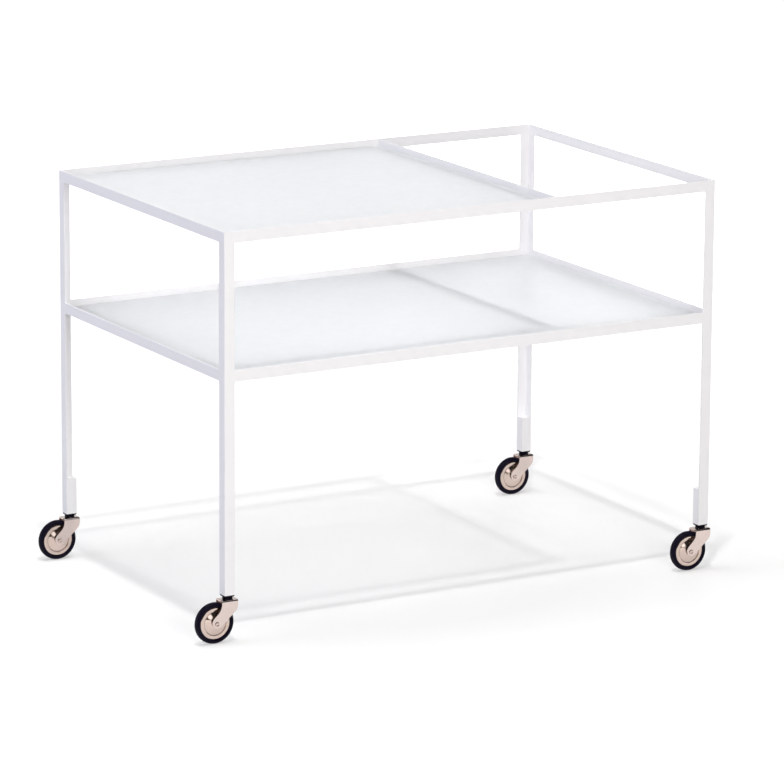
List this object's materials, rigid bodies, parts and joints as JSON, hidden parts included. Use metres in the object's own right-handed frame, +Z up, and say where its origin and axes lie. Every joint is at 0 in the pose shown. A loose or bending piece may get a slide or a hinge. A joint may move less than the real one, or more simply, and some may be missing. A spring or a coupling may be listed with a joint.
{
  "type": "room service table",
  "caption": "Low tiered serving table on swivel casters: slender angle-steel frame, satin glass shelves and an open bay beside the upper glass.",
  "frame": {"origin": "on the floor, under the middle of the whole outline with the casters trailing to the left", "axes": "+X along the length towards the open bay, +Y from the front to the back, +Z up"},
  "size_m": [0.7932, 0.486, 0.5445],
  "materials": {
    "white_powder_coat": "smooth satin powder coat",
    "satin_glass": "satin etched, pale",
    "nickel_plate": "bright nickel plate",
    "black_plastic": "matt",
    "blackened_steel": "black oxide",
    "bearing_steel": "ground",
    "tyre_rubber": "smooth rubber"
  },
  "bodies": {
    "frame": {"post_front_left": "white_powder_coat", "post_front_right": "white_powder_coat", "post_back_left": "white_powder_coat", "post_back_right": "white_powder_coat", "top_rail_front": "white_powder_coat", "top_rail_back": "white_powder_coat", "top_rail_left": "white_powder_coat", "top_rail_right": "white_powder_coat", "top_rail_cross": "white_powder_coat", "shelf_rail_front": "white_powder_coat", "shelf_rail_back": "white_powder_coat", "shelf_rail_left": "white_powder_coat", "shelf_rail_right": "white_powder_coat", "leg_block_front_left": "white_powder_coat", "leg_block_front_right": "white_powder_coat", "leg_block_back_left": "white_powder_coat", "leg_block_back_right": "white_powder_coat", "leg_collars": "black_plastic", "kingpin_front_left": "blackened_steel", "swivel_cap_front_left": "blackened_steel", "kingpin_front_right": "blackened_steel", "swivel_cap_front_right": "blackened_steel", "kingpin_back_left": "blackened_steel", "swivel_cap_back_left": "blackened_steel", "kingpin_back_right": "blackened_steel", "swivel_cap_back_right": "blackened_steel"},
    "upper_plate": {"upper_glass": "satin_glass"},
    "lower_plate": {"lower_glass": "satin_glass"},
    "swivel_front_left": {"fork_front_left": "nickel_plate", "swivel_balls_front_left": "bearing_steel", "axle_front_left": "nickel_plate"},
    "wheel_front_left": {"wheel_disc_front_front_left": "nickel_plate", "wheel_disc_back_front_left": "nickel_plate", "hub_sleeve_front_left": "bearing_steel", "tyre_front_left": "tyre_rubber"},
    "swivel_front_right": {"fork_front_right": "nickel_plate", "swivel_balls_front_right": "bearing_steel", "axle_front_right": "nickel_plate"},
    "wheel_front_right": {"wheel_disc_front_front_right": "nickel_plate", "wheel_disc_back_front_right": "nickel_plate", "hub_sleeve_front_right": "bearing_steel", "tyre_front_right": "tyre_rubber"},
    "swivel_back_left": {"fork_back_left": "nickel_plate", "swivel_balls_back_left": "bearing_steel", "axle_back_left": "nickel_plate"},
    "wheel_back_left": {"wheel_disc_front_back_left": "nickel_plate", "wheel_disc_back_back_left": "nickel_plate", "hub_sleeve_back_left": "bearing_steel", "tyre_back_left": "tyre_rubber"},
    "swivel_back_right": {"fork_back_right": "nickel_plate", "swivel_balls_back_right": "bearing_steel", "axle_back_right": "nickel_plate"},
    "wheel_back_right": {"wheel_disc_front_back_right": "nickel_plate", "wheel_disc_back_back_right": "nickel_plate", "hub_sleeve_back_right": "bearing_steel", "tyre_back_right": "tyre_rubber"}
  },
  "joints": [
    {"name": "upper_glass_lift", "type": "slide", "parent": "frame", "child": "upper_plate", "axis": [0, 0, 1], "range_m": [0, 0.15]},
    {"name": "lower_glass_lift", "type": "slide", "parent": "frame", "child": "lower_plate", "axis": [0, 0, 1], "range_m": [0, 0.15]},
    {"name": "caster_swivel_front_left", "type": "hinge", "parent": "frame", "child": "swivel_front_left", "pos_m": [-0.34955, -0.2325, 0.0635], "axis": [0, 0, 1], "continuous": true},
    {"name": "wheel_spin_front_left", "type": "hinge", "parent": "swivel_front_left", "child": "wheel_front_left", "pos_m": [-0.36915, -0.2325, 0.0275], "axis": [0, 1, 0], "continuous": true},
    {"name": "caster_swivel_front_right", "type": "hinge", "parent": "frame", "child": "swivel_front_right", "pos_m": [0.38545, -0.2325, 0.0635], "axis": [0, 0, 1], "continuous": true},
    {"name": "wheel_spin_front_right", "type": "hinge", "parent": "swivel_front_right", "child": "wheel_front_right", "pos_m": [0.36585, -0.2325, 0.0275], "axis": [0, 1, 0], "continuous": true},
    {"name": "caster_swivel_back_left", "type": "hinge", "parent": "frame", "child": "swivel_back_left", "pos_m": [-0.34955, 0.2325, 0.0635], "axis": [0, 0, 1], "continuous": true},
    {"name": "wheel_spin_back_left", "type": "hinge", "parent": "swivel_back_left", "child": "wheel_back_left", "pos_m": [-0.36915, 0.2325, 0.0275], "axis": [0, 1, 0], "continuous": true},
    {"name": "caster_swivel_back_right", "type": "hinge", "parent": "frame", "child": "swivel_back_right", "pos_m": [0.38545, 0.2325, 0.0635], "axis": [0, 0, 1], "continuous": true},
    {"name": "wheel_spin_back_right", "type": "hinge", "parent": "swivel_back_right", "child": "wheel_back_right", "pos_m": [0.36585, 0.2325, 0.0275], "axis": [0, 1, 0], "continuous": true}
  ]
}
